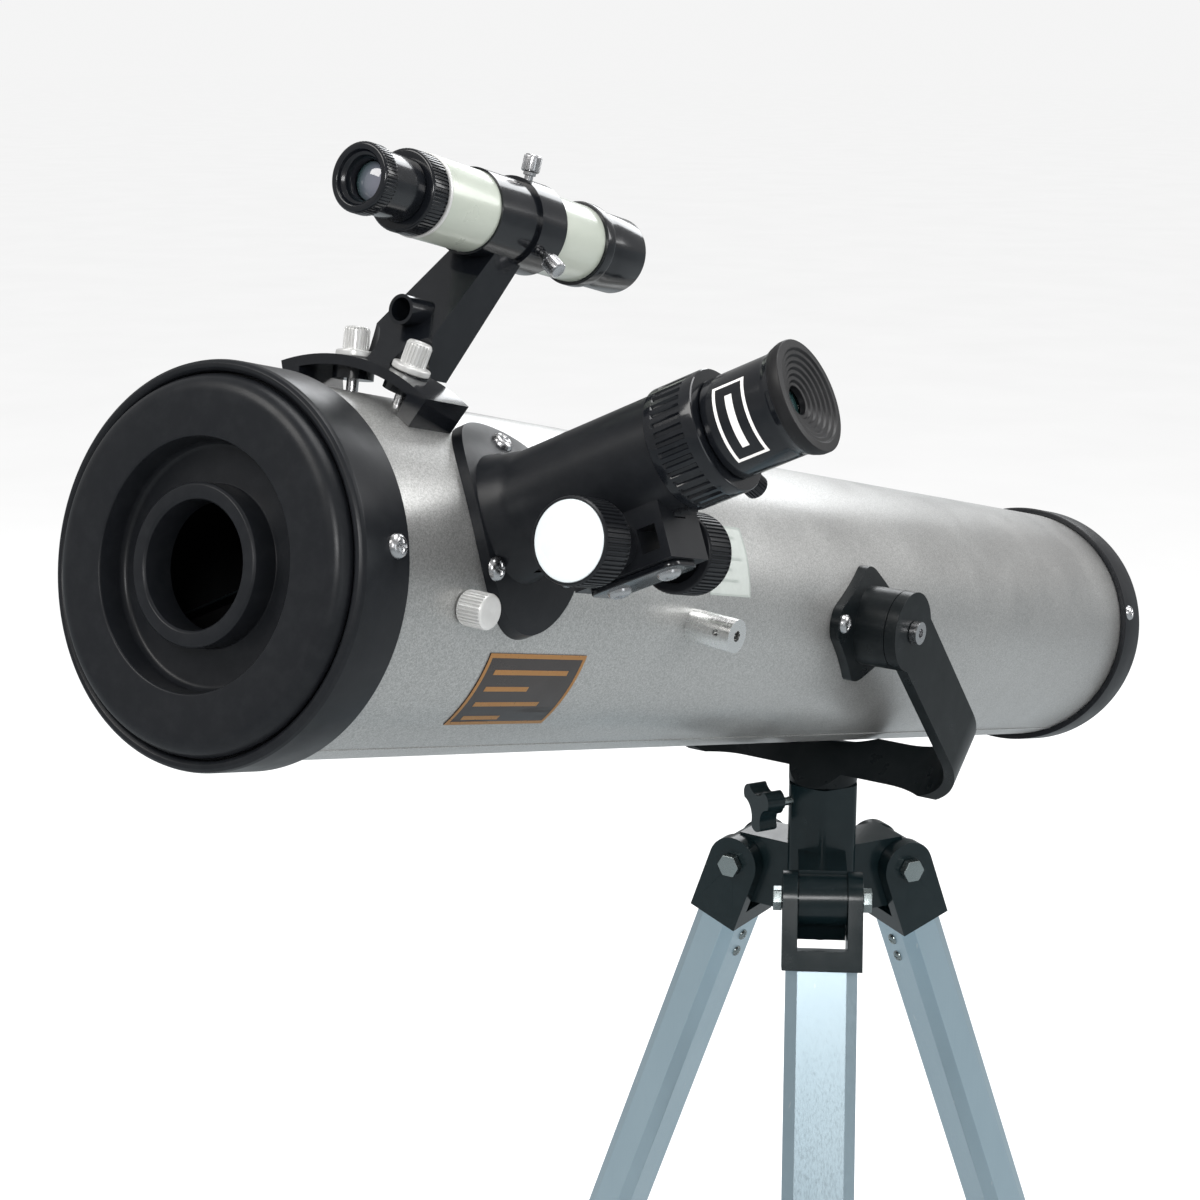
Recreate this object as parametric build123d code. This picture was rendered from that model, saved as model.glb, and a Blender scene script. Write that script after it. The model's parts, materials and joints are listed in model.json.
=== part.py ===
from build123d import *
import os
from math import acos, atan2, cos, degrees, hypot, pi, radians, sin, sqrt, tan

# A 76 mm Newtonian reflector telescope on a yoke mount and a folding tripod.
# Millimetres, +Z up. The origin is on the floor, under the azimuth axis.
# The tube's front end points to -Y and its focuser is on the +X side.

# ---- driving dimensions ----
TUBE_R = 60.0               # outside radius of the optical tube
TUBE_WALL = 1.0
TUBE_LENGTH = 655.0
TRUNNION_S = 331.0          # stations s run from the front ring's front to the rear
TUBE_TILT = 14.16           # front end raised, degrees
RING_R = 63.0
RING_LENGTH = 22.6
FIT = 0.02                  # gap between curved faces of pieces fixed together
RUN = 0.05                  # radial running clearance of shafts and slides
GAP = 0.3                   # gap between faces of pieces that move apart

FOCUSER_S, FOCUSER_PSI = 81.0, 64.1     # station, and angle from the top towards +X
BARREL_R = 18.6
BARREL_TOP = 125.5          # distance of the focuser barrel's end from the tube's axis
DRAWTUBE_R = 16.5
COLLAR_R, COLLAR_TOP = 19.7, 143.4
EYEPIECE_R = 12.25
EYEPIECE_BODY_R = 15.95
EYEPIECE_TOP = 172.5
EYEPIECE_FOOT, EYEPIECE_BARREL_TOP = 126.7, 151.0
THUMB_SCREW_RHO, THUMB_SCREW_TURN, THUMB_SCREW_R = 135.0, -28.0, 1.25
PINION_RHO, PINION_W = 102.2, 23.8      # along the focuser, and below its axis
PINION_TEETH, GEAR_MODULE, BACKLASH = 13, 0.8, 0.32
FOCUS_TRAVEL = 35.0
KNOB_R, KNOB_FACE, KNOB_DEPTH = 13.5, 37.0, 14.0
SHAFT_R = 2.0               # pinion shaft
STUD_R = 2.0

FINDER_PSI, FINDER_RHO = 6.5, 125.6
FINDER_R = 13.75
NUT_S, NUT_PSIS = 63.0, (-3.1, 16.1)
SADDLE_TOP, FOOT_HALF = 71.0, 26.0      # bracket foot: height and half angle
PEEP_RHO = 89.0
LABEL_S, LABEL_PSI = (75.0, 130.0), (106.0, 134.5)

YOKE_HALF_SPAN = 82.3       # outer faces of the arms
YOKE_STRAP, YOKE_WIDTH = 5.0, 27.5
YOKE_DROP = 91.0            # from the trunnions to the middle of the yoke's base
YOKE_BEND_R, YOKE_EYE_R, YOKE_BOSS_R = 44.0, 16.5, 16.0
SPIGOT_LENGTH = 64.0

HINGE_Z = 620.0             # height of the leg hinges
HINGE_R = 38.0
HINGE_TO_TRUNNION = 147.0
COLUMN_TOP_DROP = 102.0
COLUMN_FLATS = 31.5
SPIGOT_R = 11.0
LEG_AZIMUTHS = (-60.0, 60.0, 180.0)
LEG_LEAN, LEG_LEAN_FOLDED = 20.0, 4.0
LEG_WIDTH, LEG_DEPTH, LEG_BEVEL = 32.5, 22.0, 5.05
LEG_WALL = 1.5
UPPER_TOP, UPPER_END = 32.0, 560.0      # along the leg from its hinge
LOWER_TOP, LOWER_END = 165.0, 645.0
LEG_EXTENSION = 360.0
KNUCKLE_WIDTH = 22.0
BRACKET_WIDTH, BRACKET_DEPTH = 36.4, 26.0
BRACE_AT, BRACE_INSET = 330.0, 18.0     # brace pivot down the leg, and inside its axis
BRACE_LENGTH = 127.0
HUB_PIVOT_R = 24.0
HINGE_BOLT_R, CLAMP_SCREW_R, BRACE_PIN_R = 3.0, 2.5, 2.0
LOCK_SCREW_R = 2.0
AZIMUTH_KNOB_AZIMUTH, AZIMUTH_KNOB_DROP = -120.0, 110.0

# ---- derived places ----
TRUNNION_Z = HINGE_Z + HINGE_TO_TRUNNION
SPIGOT_OFFSET = 79.1                    # trunnions stand this far in front of the azimuth axis
TRUNNION = (0, -SPIGOT_OFFSET, TRUNNION_Z)
COLUMN_TOP = TRUNNION_Z - COLUMN_TOP_DROP
TUBE_BORE = TUBE_R - TUBE_WALL
LEAN = degrees(atan2(SPIGOT_OFFSET, YOKE_DROP))
PITCH_R = PINION_TEETH * GEAR_MODULE / 2
ON_TUBE = Pos(*TRUNNION) * Rot(X=-TUBE_TILT)
BASE = (Align.CENTER, Align.CENTER, Align.MIN)


# ---- places on the optical tube, in its own frame: trunnion at the origin, axis along Y ----
def station(s):
    """Place across the tube at station s, its z axis pointing to the rear."""
    return Plane(origin=(0, s - TRUNNION_S, 0), x_dir=(1, 0, 0), z_dir=(0, 1, 0)).location


def outward(s, psi, rho=0.0):
    """Place on a radius of the tube, z outwards and x to the rear."""
    a = radians(psi)
    origin = (rho * sin(a), s - TRUNNION_S, rho * cos(a))
    return Plane(origin=origin, x_dir=(0, 1, 0), z_dir=(sin(a), 0, cos(a))).location


def finder_station(s):
    """Place across the finder at station s, y pointing down to the tube."""
    a = radians(FINDER_PSI)
    origin = (FINDER_RHO * sin(a), s - TRUNNION_S, FINDER_RHO * cos(a))
    return Plane(origin=origin, x_dir=(cos(a), 0, -sin(a)), z_dir=(0, 1, 0)).location


def leg_place(azimuth):
    """Leg frame: hinge at the origin, x outwards, z up along the leaning leg."""
    a = radians(azimuth)
    return Pos(HINGE_R * cos(a), HINGE_R * sin(a), HINGE_Z) * Rot(Z=azimuth) * Rot(Y=-LEG_LEAN)


# ---- basic solids ----
def rod(radius, z0, z1):
    """Cylinder about Z from z0 to z1."""
    return Pos(0, 0, z0) * Cylinder(radius, z1 - z0, align=BASE)


def pipe(outer, inner, z0, z1):
    """Round tube about Z from z0 to z1."""
    return rod(outer, z0, z1) - rod(inner, z0 - 1, z1 + 1)


def block(x0, x1, y0, y1, z0, z1):
    """Box between two corners."""
    centre = Pos((x0 + x1) / 2, (y0 + y1) / 2, (z0 + z1) / 2)
    return centre * Box(x1 - x0, y1 - y0, z1 - z0)


def across(radius, y0, y1, x=0.0, z=0.0):
    """Cylinder along Y at (x, z)."""
    return Pos(x, y0, z) * Rot(X=-90) * Cylinder(radius, y1 - y0, align=BASE)


def along_x(radius, x0, x1, y=0.0, z=0.0):
    """Cylinder along X at (y, z)."""
    return Pos(x0, y, z) * Rot(Y=90) * Cylinder(radius, x1 - x0, align=BASE)


def turned(*profile):
    """Solid of revolution about Z of a closed outline of (radius, height) points."""
    return revolve(Plane.XZ * make_face(Polyline(*profile, close=True)), Axis.Z)


def prism(outline, z0, z1):
    """Closed outline of (x, y) points raised from z0 to z1."""
    return Pos(0, 0, z0) * extrude(make_face(Polyline(*outline, close=True)), z1 - z0)


def notches(count, radius, width, depth, z0, z1):
    """Boxes that cut the grips of a knurled rim of the given radius."""
    bar = Pos(radius, 0, z0) * Box(2 * depth, width, z1 - z0, align=BASE)
    return [Rot(Z=360 * k / count) * bar for k in range(count)]


def knurled(radius, z0, z1, count, width, depth):
    """Cylinder with straight grips all round."""
    return rod(radius, z0, z1) - notches(count, radius, width, depth, z0 - 1, z1 + 1)


def group(shapes):
    """Several separate solids of one node."""
    return Compound(children=[solid for shape in shapes for solid in shape.solids()])


def shell_sector(inner, outer, s0, s1, psi0, psi1):
    """Piece of a tube wall between two stations and two angles."""
    wall = pipe(outer, inner, 0, s1 - s0)
    reach, span = 2 * outer, radians(psi1 - psi0)
    wedge = prism([(0, 0), (reach, 0), (reach, reach * tan(span / 2))], -1, s1 - s0 + 1)
    wedge = wedge + mirror(wedge, Plane.XZ)
    # on a station plane the x axis is at psi = 90 and y points down
    middle = (psi0 + psi1) / 2 - 90
    return station(s0) * (wall & (Rot(Z=middle) * wedge))


# ---- fasteners ----
SCREW_HEAD_R, SCREW_HEAD_H, SCREW_R = 3.9, 2.1, 1.6


def pan_head(grip):
    """Pan-head screw standing on z = 0 with a shank of length grip below."""
    dome = turned((0, 0), (SCREW_HEAD_R, 0), (SCREW_HEAD_R, 0.9), (3.1, 1.8), (1.9, SCREW_HEAD_H),
                  (0, SCREW_HEAD_H))
    slot = block(-2, 2, -0.4, 0.4, 1.1, 3)
    return dome + rod(SCREW_R, -grip, 0) - slot - Rot(Z=90) * slot


def screw_holes(places, grip):
    return [place * rod(SCREW_R + FIT, -grip - 1, 5) for place in places]


RING_SCREW_PSIS = (76.5, 196.5, 316.5)
ring_screw_places = [
    outward(s, psi, RING_R) for s in (16.5, 637.6) for psi in RING_SCREW_PSIS
]
TRUNNION_SCREW_OFFSET = 26.0
PLATE_R = 64.0
trunnion_screw_places = [
    outward(TRUNNION_S + side, psi, PLATE_R)
    for side in (-TRUNNION_SCREW_OFFSET, TRUNNION_SCREW_OFFSET)
    for psi in (90, -90)
]
FLANGE_R = 63.8
FLANGE_OFFSET = 6.0         # the flange's middle is behind the focuser's axis
FLANGE_HALF_LENGTH, FLANGE_HALF_WIDTH = 28.0, 36.5
flange_screw_places = [outward(s, psi, FLANGE_R) for s, psi in ((91.0, 38.0), (64.5, 80.5), (103.5, 81.0))]
COLLIMATION_REACH = 28.0
collimation_places = [
    station(TUBE_LENGTH) * Rot(Z=30 + 120 * k) * Pos(COLLIMATION_REACH, 0, 0) for k in range(3)
]
FOCUSER = outward(FOCUSER_S, FOCUSER_PSI)
COVER_W = 33.0
cover_screw_places = [
    FOCUSER * Pos(0, -COVER_W - 2, PINION_RHO + side) * Rot(X=90) for side in (-9.3, 9.3)
]
STUDS = [outward(NUT_S, psi) for psi in NUT_PSIS]
SIDE_STUD = outward(55, 92)


# ---- optical tube assembly ----
def main_tube():
    tube = station(0) * pipe(TUBE_R, TUBE_BORE, 4, 651)
    holes = screw_holes(ring_screw_places + trunnion_screw_places + flange_screw_places, 8)
    light_path = FOCUSER * rod(17.2, 40, 80)
    stud_holes = [place * rod(STUD_R + RUN, 50, 70) for place in STUDS + [SIDE_STUD]]
    trunnion_holes = along_x(3.1, -80, 80)
    return tube - holes - light_path - stud_holes - trunnion_holes


def front_ring():
    bead = 2.0
    outline = (
        Polyline((59, bead), (59, 3.2), (56.2, 3.2), (56.2, 6), (TUBE_BORE - FIT, 6))
        + Polyline((TUBE_BORE - FIT, 6), (TUBE_BORE - FIT, 3.9), (TUBE_R + FIT, 3.9))
        + Polyline((TUBE_R + FIT, 3.9), (TUBE_R + FIT, RING_LENGTH), (RING_R, RING_LENGTH), (RING_R, bead))
        + ThreePointArc((RING_R, bead), (61, 0), (59, bead))
    )
    ring = station(0) * revolve(Plane.XZ * make_face(outline), Axis.Z)
    return ring - screw_holes(ring_screw_places, 8)


def rear_ring():
    lip = TUBE_LENGTH - 4
    profile = turned((TUBE_R + FIT, TUBE_LENGTH - RING_LENGTH), (RING_R, TUBE_LENGTH - RING_LENGTH),
                     (RING_R, TUBE_LENGTH - 1.5), (RING_R - 1.5, TUBE_LENGTH), (52, TUBE_LENGTH),
                     (52, lip), (TUBE_R + FIT, lip))
    return station(0) * profile - screw_holes(ring_screw_places, 8)


def rear_cover():
    """Closes the rear end and seats the primary mirror."""
    plate = turned((0, 645), (38.1, 645), (38.1, 634), (42, 634), (42, 646), (TUBE_BORE - FIT, 646),
                   (TUBE_BORE - FIT, 651), (52 - FIT, 651), (52 - FIT, 652.5), (48, TUBE_LENGTH),
                   (0, TUBE_LENGTH))
    return station(0) * plate - screw_holes(collimation_places, 9)


MIRROR_R, MIRROR_FRONT, FOCAL_LENGTH = 38.0, 635.5, 700.0


def primary_mirror():
    disc = rod(MIRROR_R, MIRROR_FRONT, 645)
    hollow = Pos(0, 0, MIRROR_FRONT + 0.52 - 2 * FOCAL_LENGTH) * Sphere(2 * FOCAL_LENGTH)
    return station(0) * (disc - hollow)


SPIDER_S = 42.0
SECONDARY_R = 10.0


def secondary_plane():
    """Place of the diagonal mirror, z halfway between the primary mirror and the focuser."""
    a = radians(FOCUSER_PSI)
    origin = (0, FOCUSER_S - TRUNNION_S, 0)
    return Plane(origin=origin, x_dir=(cos(a), 0, -sin(a)), z_dir=(sin(a), 1, cos(a))).location


def spider():
    rim = station(SPIDER_S - 4) * pipe(TUBE_BORE - FIT, TUBE_BORE - 1.2, 0, 8)
    vanes = [
        outward(SPIDER_S, FOCUSER_PSI + turn) * block(-4, 4, -0.4, 0.4, 5, TUBE_BORE - 0.6)
        for turn in (60, 180, 300)
    ]
    stem = station(SPIDER_S - 6) * (rod(7, 0, 12) + rod(4, 12, 25) + rod(SECONDARY_R, 22, 60))
    mirror_room = secondary_plane() * Pos(0, 0, -3) * Box(60, 60, 60, align=BASE)
    return rim + vanes + (stem - mirror_room)


def secondary_mirror():
    slab = secondary_plane() * Pos(0, 0, -3 + FIT) * Box(60, 60, 3, align=BASE)
    return slab & (station(FOCUSER_S) * rod(SECONDARY_R + 1, -30, 30))


def pan_head_screws():
    ring = [place * pan_head(5) for place in ring_screw_places]
    plate = [place * pan_head(7) for place in trunnion_screw_places]
    flange = [place * pan_head(6) for place in flange_screw_places]
    cover = [place * pan_head(4.5) for place in cover_screw_places]
    collimation = [place * pan_head(8) for place in collimation_places]
    return group(ring + plate + flange + cover + collimation)


BOSS_R, BOSS_END = 16.5, YOKE_HALF_SPAN - YOKE_STRAP - GAP
BOLT_R, BOLT_HEAD_R = 3.0, 4.7


def trunnion_plate(side):
    """Diamond plate on the tube's side with the round boss that the yoke's arm carries."""
    tips = [(38, 0), (0, 26), (-38, 0), (0, -26)]
    diamond = fillet(make_face(Polyline(*tips, close=True)).vertices(), 9)
    facing = Plane(origin=(0, 0, 0), x_dir=(0, 1, 0), z_dir=(side, 0, 0)).location
    plate = (facing * extrude(diamond, 80)) & (station(0) * pipe(PLATE_R, TUBE_R + FIT, 250, 420))
    boss = facing * rod(BOSS_R, 50, BOSS_END) - station(0) * rod(TUBE_R + FIT, 250, 420)
    return plate + boss - facing * rod(BOLT_R + FIT, 0, 90)


def trunnion_plates():
    plates = [trunnion_plate(side) for side in (-1, 1)]
    holes = screw_holes(trunnion_screw_places, 10)
    return group([plate - holes for plate in plates])


def trunnion_bolts():
    head_at = YOKE_HALF_SPAN + GAP
    bolt = rod(BOLT_R, 58, head_at) + rod(BOLT_HEAD_R, head_at, head_at + 3.2)
    socket = extrude(RegularPolygon(2.1, 6), 10)
    bolt = bolt - Pos(0, 0, head_at + 1.2) * socket
    return group([Rot(Y=90 * side) * bolt for side in (-1, 1)])


# The focuser's own frame has z along its axis, x to the rear and y upwards.
PINION_AT = Pos(0, -PINION_W, PINION_RHO)
RACK_HALF, RACK_ROOT_W, RACK_TIP_W = 3.0, 18.0, 19.7
HOUSING_HALF = 11.0


def focuser_housing():
    outline = Pos(FLANGE_OFFSET, 0, 40) * Ellipse(FLANGE_HALF_LENGTH, FLANGE_HALF_WIDTH)
    saddle = extrude(outline, 40)
    saddle = saddle & (FOCUSER.inverse() * station(0) * pipe(FLANGE_R, TUBE_R + FIT, 20, 140))
    bracket_room = shell_sector(50, 80, 40, 72.6, 0, FINDER_PSI + FOOT_HALF + 0.6)
    saddle = saddle - FOCUSER.inverse() * bracket_room
    flare = Pos(0, 0, 56) * Cone(23, BARREL_R, 17, align=BASE)
    body = flare + rod(BARREL_R, 60, BARREL_TOP)
    body = body - FOCUSER.inverse() * station(0) * rod(TUBE_R + FIT, 20, 140)
    cheeks = block(-HOUSING_HALF, HOUSING_HALF, -COVER_W, -14, 84, 120)
    bushes = along_x(7.5, -22.5, 22.5, -PINION_W, PINION_RHO)
    window = block(-30, 30, -29.5, -21.5, 110.5, 117)
    bore = rod(DRAWTUBE_R + RUN, 40, 140)
    rack_slot = block(-RACK_HALF - GAP, RACK_HALF + GAP, -20.2, 0, 40, 140)
    gear_room = along_x(6.6, -3.8, 3.8, -PINION_W, PINION_RHO)
    shaft_bore = along_x(SHAFT_R + RUN, -30, 30, -PINION_W, PINION_RHO)
    housing = saddle + body + cheeks + bushes - window - bore - rack_slot - gear_room - shaft_bore
    holes = screw_holes(flange_screw_places, 10) + screw_holes(cover_screw_places, 5)
    head_room = [place * rod(SCREW_HEAD_R + GAP, 0, 12) for place in flange_screw_places]
    return FOCUSER * housing - holes - head_room


def pinion_cover():
    plate = block(-8, 8, -COVER_W - 2, -COVER_W, 86, 118.4)
    plate = fillet(plate.edges().filter_by(Axis.Y), 4)
    return FOCUSER * plate - screw_holes(cover_screw_places, 5)


def rack_teeth():
    """Straight teeth that face the pinion, one of them in mesh at rest."""
    step = pi * GEAR_MODULE
    slope = tan(radians(20))
    pitch_w = PINION_W - PITCH_R
    tip_half = step / 4 - BACKLASH / 4 - (RACK_TIP_W - pitch_w) * slope
    root_half = step / 4 - BACKLASH / 4 + (pitch_w - RACK_ROOT_W) * slope
    teeth = []
    for k in range(-14, 10):
        z = PINION_RHO + k * step
        tooth = make_face(Polyline((-RACK_ROOT_W + 1, z - root_half), (-RACK_ROOT_W, z - root_half),
                                   (-RACK_TIP_W, z - tip_half), (-RACK_TIP_W, z + tip_half),
                                   (-RACK_ROOT_W, z + root_half), (-RACK_ROOT_W + 1, z + root_half),
                                   close=True))
        teeth.append(Pos(-RACK_HALF, 0, 0) * extrude(Plane.YZ * tooth, 2 * RACK_HALF))
    return teeth


def drawtube():
    bar = block(-RACK_HALF, RACK_HALF, -RACK_ROOT_W, -15.5, 64, 125)
    sleeve = rod(DRAWTUBE_R, 63.5, BARREL_TOP + GAP)
    return FOCUSER * (sleeve + bar + rack_teeth() - rod(14.5, 50, 140))


def drawtube_collar():
    """Eyepiece holder: grooved grip, smooth lip and a spigot inside the drawtube."""
    foot = BARREL_TOP + GAP
    body = rod(COLLAR_R, foot, COLLAR_TOP - 0.01)
    grips = notches(30, COLLAR_R, 2.1, 0.8, 129, 138.5)
    collar = body - grips + rod(14.5 - FIT, 116, foot) - rod(EYEPIECE_R + RUN, 100, 160)
    return FOCUSER * (collar - eyepiece_screw_at() * rod(THUMB_SCREW_R + RUN, 5, 30))


def eyepiece_screw_at():
    """Axis of the eyepiece's thumb screw, z outwards, in the focuser's frame."""
    return Pos(0, 0, THUMB_SCREW_RHO) * Rot(Z=THUMB_SCREW_TURN) * Rot(Y=90)


def eyepiece_screw():
    head = Pos(0, 0, 22.5) * knurled(4, 0, 7, 16, 0.6, 0.35)
    return FOCUSER * (eyepiece_screw_at() * (rod(THUMB_SCREW_R, EYEPIECE_R + GAP, 23) + head))


def gear_outline():
    """Involute teeth of the pinion, a gap between two teeth towards the rack."""
    base = PITCH_R * cos(radians(20))
    root, tip = PITCH_R - 1.15, PITCH_R + 0.5

    def roll(radius):
        angle = acos(min(1.0, base / radius))
        return tan(angle) - angle

    half_pitch = (pi * GEAR_MODULE / 2 - BACKLASH / 2) / 2 / PITCH_R
    flank = [(r, half_pitch + roll(PITCH_R) - roll(r)) for r in (root, base, PITCH_R, 5.5, tip)]
    points = []
    for k in range(PINION_TEETH):
        middle = pi / 2 + (k + 0.5) * 2 * pi / PINION_TEETH
        rising = [(r, middle - half) for r, half in flank]
        falling = [(r, middle + half) for r, half in reversed(flank)]
        points += [(r * cos(t), r * sin(t)) for r, t in rising + falling]
    return points


def pinion_shaft():
    teeth = Pos(-RACK_HALF, 0, 0) * extrude(Plane.YZ * gear_face(), 2 * RACK_HALF)
    return FOCUSER * (PINION_AT * (teeth + along_x(SHAFT_R, -KNOB_FACE + 3, KNOB_FACE - 3)))


def gear_face():
    # YZ sketch axes are y and z, so the gap points to +y after a quarter turn
    return Rot(Z=-90) * make_face(Polyline(*gear_outline(), close=True))


def focus_knob(side):
    knob = knurled(KNOB_R, 0, KNOB_DEPTH, 48, 0.9, 0.5)
    knob = knob - rod(12.45, KNOB_DEPTH - 1, KNOB_DEPTH + 1) - rod(10, -1, 3)
    knob = knob - rod(SHAFT_R + FIT, -1, KNOB_DEPTH - 3)
    return PINION_AT * Pos(side * (KNOB_FACE - KNOB_DEPTH), 0, 0) * Rot(Y=90 * side) * knob


def focus_knobs():
    return FOCUSER * group([focus_knob(side) for side in (-1, 1)])


def knob_discs():
    disc = rod(12.4, 0, 0.9)
    places = [PINION_AT * Pos(side * (KNOB_FACE - 1), 0, 0) * Rot(Y=90 * side) for side in (-1, 1)]
    return FOCUSER * group([place * disc for place in places])


def eyepiece_barrel():
    return FOCUSER * pipe(EYEPIECE_R, 11.2, EYEPIECE_FOOT, EYEPIECE_BARREL_TOP)


def eyepiece_body():
    seat, top = COLLAR_TOP + GAP, EYEPIECE_TOP
    ridges = [(4.5, top - 4.5)]
    for k in range(5):
        ridges += [(6.0 + 1.9 * k, top - 4.5 + 0.85 * k), (6.0 + 1.9 * k, top - 3.9 + 0.85 * k)]
    body = turned((EYEPIECE_R + FIT, seat), (EYEPIECE_BODY_R, seat), (EYEPIECE_BODY_R, 166.5),
                  (17.0, 169), (17.9, 170.8), (17.9, top - 0.5), (17.3, top), (16.2, top),
                  *reversed(ridges), (4.5, 166), (10, 166), (10, EYEPIECE_BARREL_TOP + FIT),
                  (EYEPIECE_R + FIT, EYEPIECE_BARREL_TOP + FIT))
    return FOCUSER * body


def eyepiece_lenses():
    eye = rod(10 - FIT, 162.6, 166 - FIT) & (Pos(0, 0, 144) * Sphere(21.9))
    field_top = EYEPIECE_FOOT + 4.4
    field = rod(11.2 - FIT, field_top - 3.4, field_top + 0.1) & (Pos(0, 0, field_top - 20) * Sphere(20))
    return FOCUSER * group([eye, field])


def label_plate():
    return shell_sector(TUBE_R + FIT, TUBE_R + 0.4, *LABEL_S, *LABEL_PSI)


POST_S, POST_PSI, POST_R, POST_BORE_R, POST_TOP = 194.0, 94.0, 6.2, 2.0, 78.5


def rod_post():
    """Socket for the slow-motion rod: an end bore and a cross hole for its clamp screw."""
    post = rod(POST_R, 58, POST_TOP) - rod(POST_BORE_R, POST_TOP - 12, 85) - along_x(1.2, -10, 0, 0, 73)
    return outward(POST_S, POST_PSI) * post - station(0) * rod(TUBE_R + FIT, 150, 240)


# ---- dust cap ----
CAP_HOLE_R, CAP_RECESS_R, CAP_PROUD = 19.9, 38.4, 4.0


def dust_cap():
    face = -CAP_PROUD
    rim = Polyline((58.5, 1.2), (58.5, 2.0), (55.6, 2.0), (55.6, 14), (53.6, 14), (53.6, -2),
                   (40.6, -2), (40.6, 8), (CAP_HOLE_R, 8), (CAP_HOLE_R, face + 1), (20.6, face + 0.3),
                   (24.4, face + 0.3), (25.2, face + 1.1), (25.2, 6), (36.4, 6))
    cove = ThreePointArc((36.4, 6), (37.8, 5.4), (CAP_RECESS_R, 4))
    top = Polyline((CAP_RECESS_R, 4), (CAP_RECESS_R, face + 0.6), (39, face), (54, face))
    shoulder = ThreePointArc((54, face), (57.3, -2.4), (58.5, 1.2))
    outline = rim + cove + top + shoulder
    return station(0) * revolve(Plane.XZ * make_face(outline), Axis.Z)


# ---- finder and its bracket ----
BAND_FRONT, BAND_END, RING_END = 88.5, 109.5, 124.0
FINDER_SCREW_S = 117.0


def finder_tube():
    tube = pipe(FINDER_R, 12.6, 62.5, 151) + pipe(13.95, 12.6, 61.2, 62.5)
    return finder_station(0) * tube


def finder_end_cells():
    front = knurled(13.5, 53, 61.2, 40, 0.8, 0.4) + rod(12.6 - FIT, 61, 70) - rod(9.5 + RUN, 50, 80)
    rear = turned((12.6 - FIT, 142), (12.6 - FIT, 151.02), (15, 151.02), (15, 156), (13.2, 157.4),
                  (13.75, 162), (13.75, 178), (12.4, 178), (12.4, 160), (11, 160), (11, 142))
    return finder_station(0) * group([front, rear])


def finder_objective():
    lens = rod(12.3, 160.1, 165) & (Pos(0, 0, 130) * Sphere(34.5))
    return finder_station(0) * lens


def finder_eyepiece():
    cup = turned((9.5, 72), (9.5, 53 - GAP), (10.3, 53 - GAP), (10.3, 38), (11.25, 37.4), (11.25, 32.6),
                 (10.6, 32), (8.6, 32), (7.6, 35), (6.5, 36.5), (6.5, 72))
    return finder_station(0) * (cup - notches(44, 11.25, 0.7, 0.35, 32.8, 37.2))


def finder_eye_lens():
    lens = rod(6.5 - FIT, 37, 41) & (Pos(0, 0, 52) * Sphere(15))
    return finder_station(0) * lens


def finder_screw_place(turn):
    """Axis of an adjusting screw, z away from the finder; turn 0 is on top."""
    return finder_station(FINDER_SCREW_S) * Rot(Z=turn) * Rot(X=90)


def finder_screw(turn):
    head = Pos(0, 0, 18.5) * knurled(3.2, 0, 6, 14, 0.5, 0.3)
    return finder_screw_place(turn) * (rod(1.5, FINDER_R + 0.15, 18.6) + rod(2.2, 17.4, 18.6) + head)


def finder_bracket():
    """Arched foot on the tube, leaning stem with a sighting tube, and the finder's ring."""
    arch = shell_sector(TUBE_R + FIT, SADDLE_TOP, 50, 72, FINDER_PSI - FOOT_HALF, FINDER_PSI + FOOT_HALF)
    under = shell_sector(TUBE_R - 2, SADDLE_TOP - 3.4, 40, 90, FINDER_PSI - 20, FINDER_PSI + 20)
    seats = [place * rod(6.8, 64, SADDLE_TOP) for place in STUDS]
    radial = outward(0, FINDER_PSI)
    base_face = radial * Pos(69.5, 0, 69) * Rectangle(22, 27)
    top_face = radial * Pos(106, 0, FINDER_RHO - 10) * Rectangle(16, 17)
    stem = loft([base_face, top_face])
    peep = radial * Pos(66, 0, PEEP_RHO) * Rot(Y=90) * rod(5, 0, 30)
    peep_bore = radial * Pos(60, 0, PEEP_RHO) * Rot(Y=90) * rod(3.85, 0, 60)
    band = finder_station(0) * (rod(14.6, BAND_FRONT, BAND_END) + rod(15.9, BAND_END, RING_END))
    finder_bore = finder_station(0) * rod(FINDER_R + FIT, 50, 160)
    screw_bores = [finder_screw_place(turn) * rod(1.5 + RUN, 5, 30) for turn in (0, 120, 240)]
    seat_cuts = [place * rod(STUD_R + RUN, 50, 90) for place in STUDS]
    nut_room = [place * rod(7.4, SADDLE_TOP, SADDLE_TOP + 16) for place in STUDS]
    body = arch - under + seats + (stem - nut_room) + peep + band
    return body - peep_bore - finder_bore - screw_bores - seat_cuts


def threaded_studs():
    top = [place * (rod(STUD_R, 57, 80.5) + rod(3.5, 55.5, 58)) for place in STUDS]
    side = SIDE_STUD * (rod(STUD_R, 57, 69) + rod(3.5, 55.5, 58))
    return group(top + [side])


def bracket_nut(place):
    nut = rod(6.4, 0, 2.4) + knurled(4.3, 2.4, 10.2, 16, 0.6, 0.3)
    return place * Pos(0, 0, SADDLE_TOP + 0.1) * (nut - rod(STUD_R + RUN, -1, 12))


def side_thumb_nut():
    nut = knurled(5.75, 0, 10, 30, 0.6, 0.35) - rod(STUD_R + RUN, -1, 9)
    return SIDE_STUD * Pos(0, 0, TUBE_R + 0.35) * nut


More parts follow.
